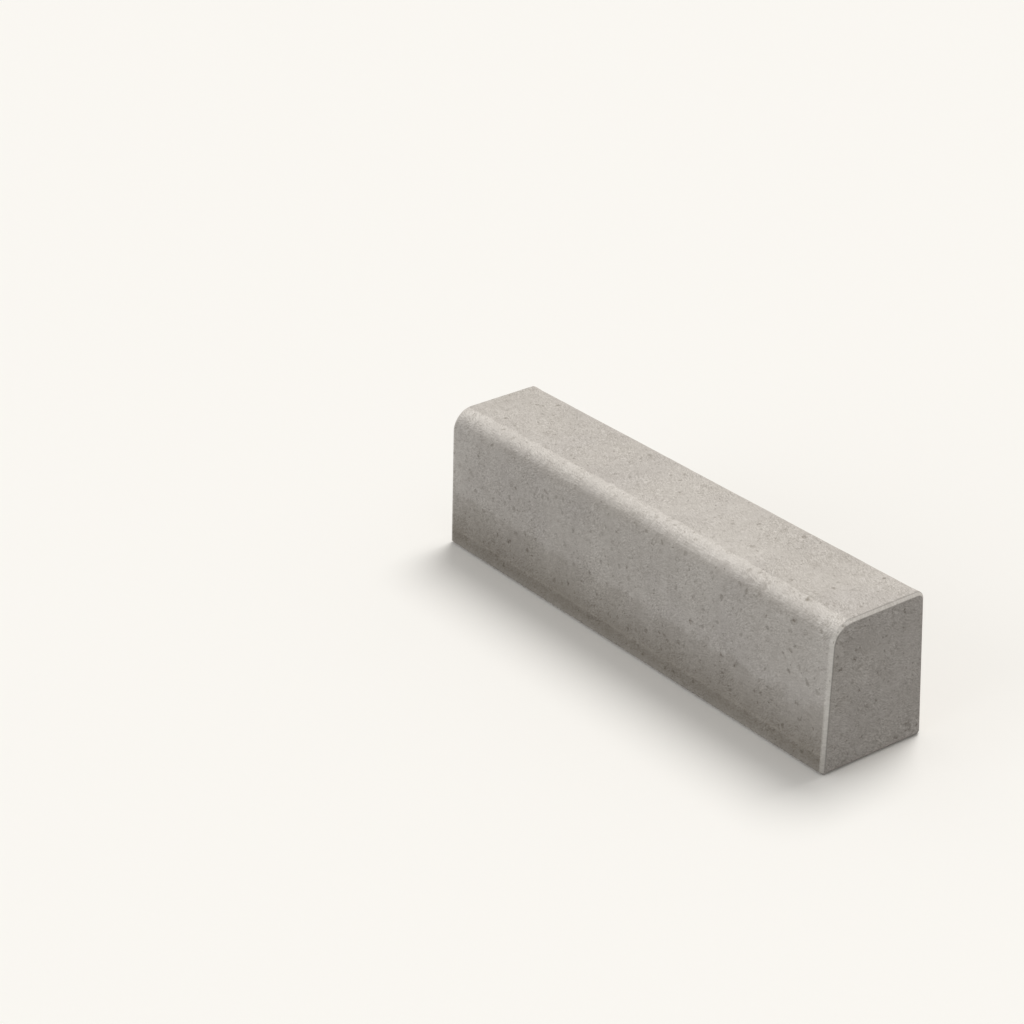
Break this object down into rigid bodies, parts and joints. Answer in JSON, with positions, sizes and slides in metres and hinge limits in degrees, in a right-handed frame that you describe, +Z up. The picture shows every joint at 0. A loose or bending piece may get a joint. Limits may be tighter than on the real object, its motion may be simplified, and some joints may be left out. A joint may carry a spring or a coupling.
{
  "type": "concrete kerb stone",
  "caption": "Straight precast concrete kerb stone with a battered road face, a rounded nose, a level top, a plain upright back and chamfered ends, laid in a row to edge a road or path.",
  "frame": {"origin": "middle of the bed, the flat underside that the kerb stands on", "axes": "+X along the kerb's length, +Y from the road face towards the back, +Z up from the bed to the top"},
  "size_m": [1, 0.1996, 0.25],
  "materials": {
    "concrete": "matte cast"
  },
  "bodies": {
    "root": {"kerb_stone": "concrete"}
  },
  "joints": []
}
